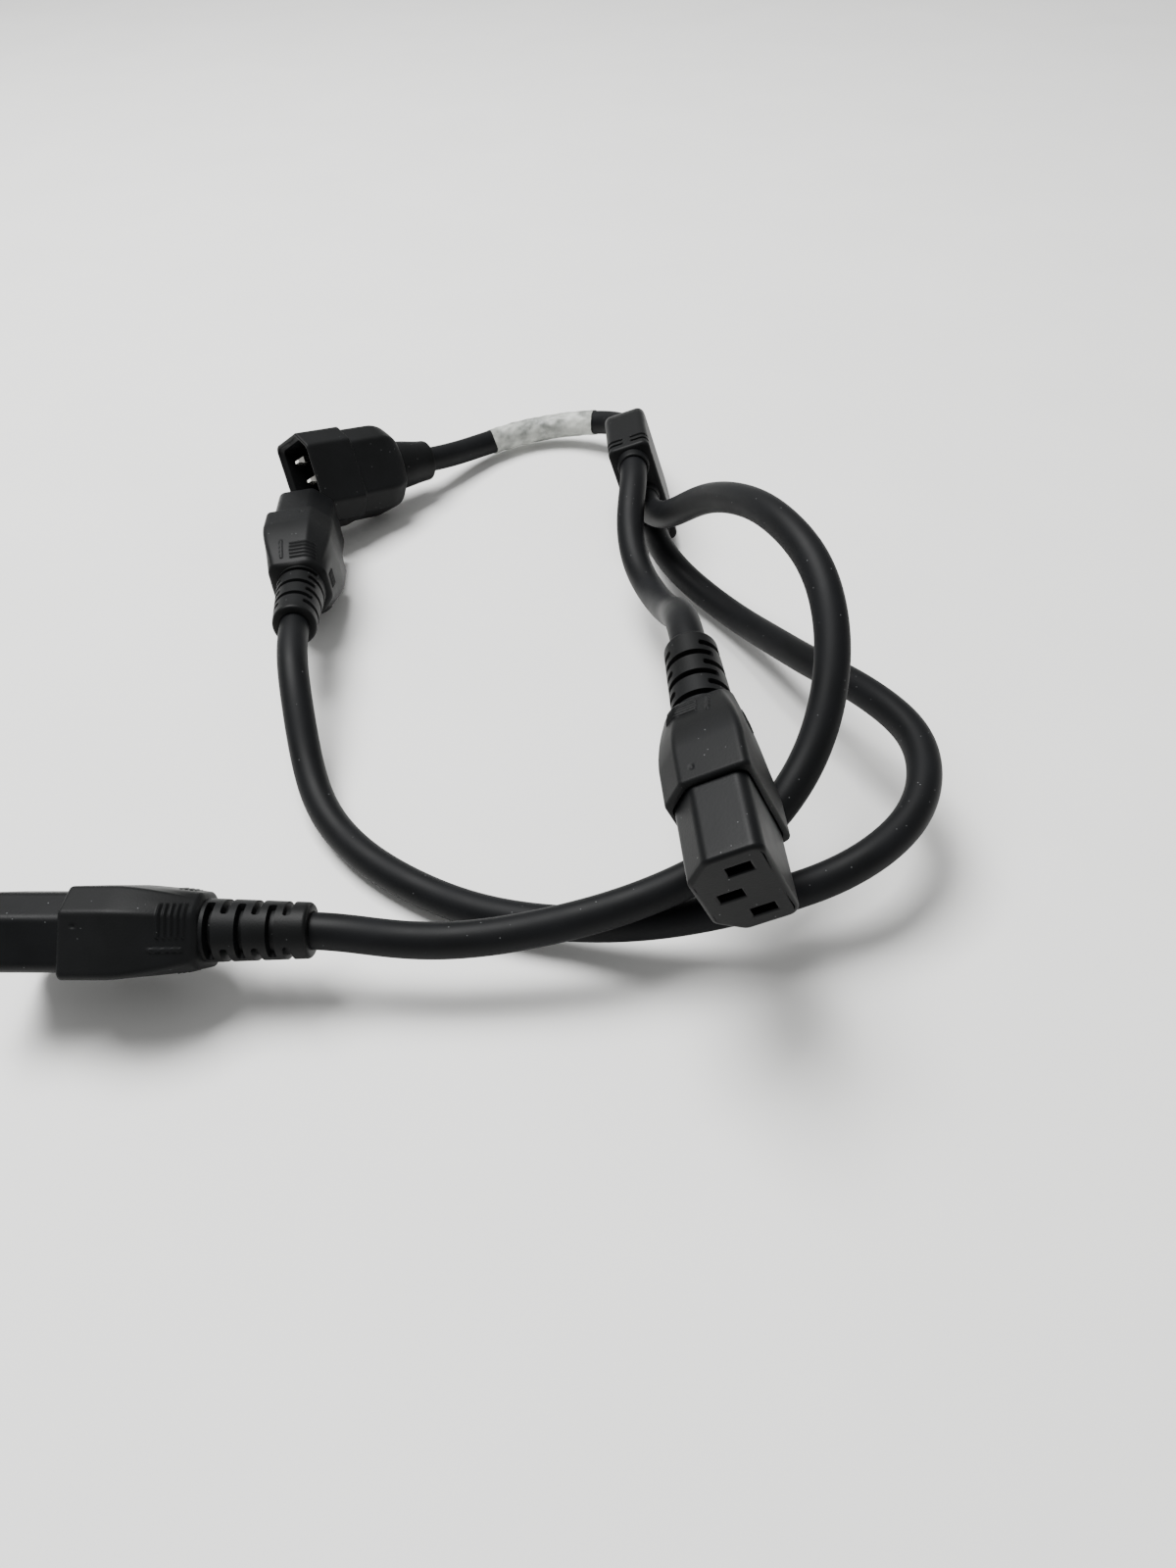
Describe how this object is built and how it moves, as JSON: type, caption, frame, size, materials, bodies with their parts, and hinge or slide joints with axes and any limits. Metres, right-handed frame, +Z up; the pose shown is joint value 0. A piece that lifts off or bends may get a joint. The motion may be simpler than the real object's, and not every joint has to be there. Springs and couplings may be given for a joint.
{
  "type": "power splitter lead",
  "caption": "Moulded mains lead: an inlet plug on a short cord feeds a flat splitter block, from which cords run out to socket connectors.",
  "frame": {"origin": "under the middle of the mouldings' bounding box, at the height of the lowest moulding", "axes": "+Z up; +Y from the loose end of the loop towards the splitter block and the inlet plug; +X to the right"},
  "size_m": [0.2035, 0.2556, 0.0632],
  "materials": {
    "mould": "moulded PVC, fine matte grain",
    "insert": "moulded, slightly smoother than the overmould",
    "jacket": "extruded PVC, satin",
    "label": "wrapped film label, creased, faintly smudged",
    "brass": "bare formed brass",
    "nickel": "nickel-plated brass, bright",
    "core_line": "insulated core",
    "core_neutral": "insulated core",
    "core_earth": "insulated core"
  },
  "bodies": {
    "root": {"cord_a": "jacket", "cord_b": "jacket", "cord_c": "jacket", "cord_input": "jacket", "input_plug_core_earth": "core_earth", "input_plug_core_line": "core_line", "input_plug_core_neutral": "core_neutral", "input_plug_overmould": "mould", "input_plug_pin_carrier": "insert", "input_plug_pin_earth": "nickel", "input_plug_pin_line": "nickel", "input_plug_pin_neutral": "nickel", "label_wrap": "label", "socket_a_contact_earth": "brass", "socket_a_contact_line": "brass", "socket_a_contact_neutral": "brass", "socket_a_core_earth": "core_earth", "socket_a_core_line": "core_line", "socket_a_core_neutral": "core_neutral", "socket_a_nose": "insert", "socket_a_overmould": "mould", "socket_b_contact_earth": "brass", "socket_b_contact_line": "brass", "socket_b_contact_neutral": "brass", "socket_b_core_earth": "core_earth", "socket_b_core_line": "core_line", "socket_b_core_neutral": "core_neutral", "socket_b_nose": "insert", "socket_b_overmould": "mould", "socket_c_contact_earth": "brass", "socket_c_contact_line": "brass", "socket_c_contact_neutral": "brass", "socket_c_core_earth": "core_earth", "socket_c_core_line": "core_line", "socket_c_core_neutral": "core_neutral", "socket_c_nose": "insert", "socket_c_overmould": "mould", "splitter_a_core_earth": "core_earth", "splitter_a_core_line": "core_line", "splitter_a_core_neutral": "core_neutral", "splitter_b_core_earth": "core_earth", "splitter_b_core_line": "core_line", "splitter_b_core_neutral": "core_neutral", "splitter_c_core_earth": "core_earth", "splitter_c_core_line": "core_line", "splitter_c_core_neutral": "core_neutral", "splitter_inlet_core_earth": "core_earth", "splitter_inlet_core_line": "core_line", "splitter_inlet_core_neutral": "core_neutral", "splitter_overmould": "mould", "splitter_splice_earth": "brass", "splitter_splice_line": "brass", "splitter_splice_neutral": "brass"}
  },
  "joints": []
}
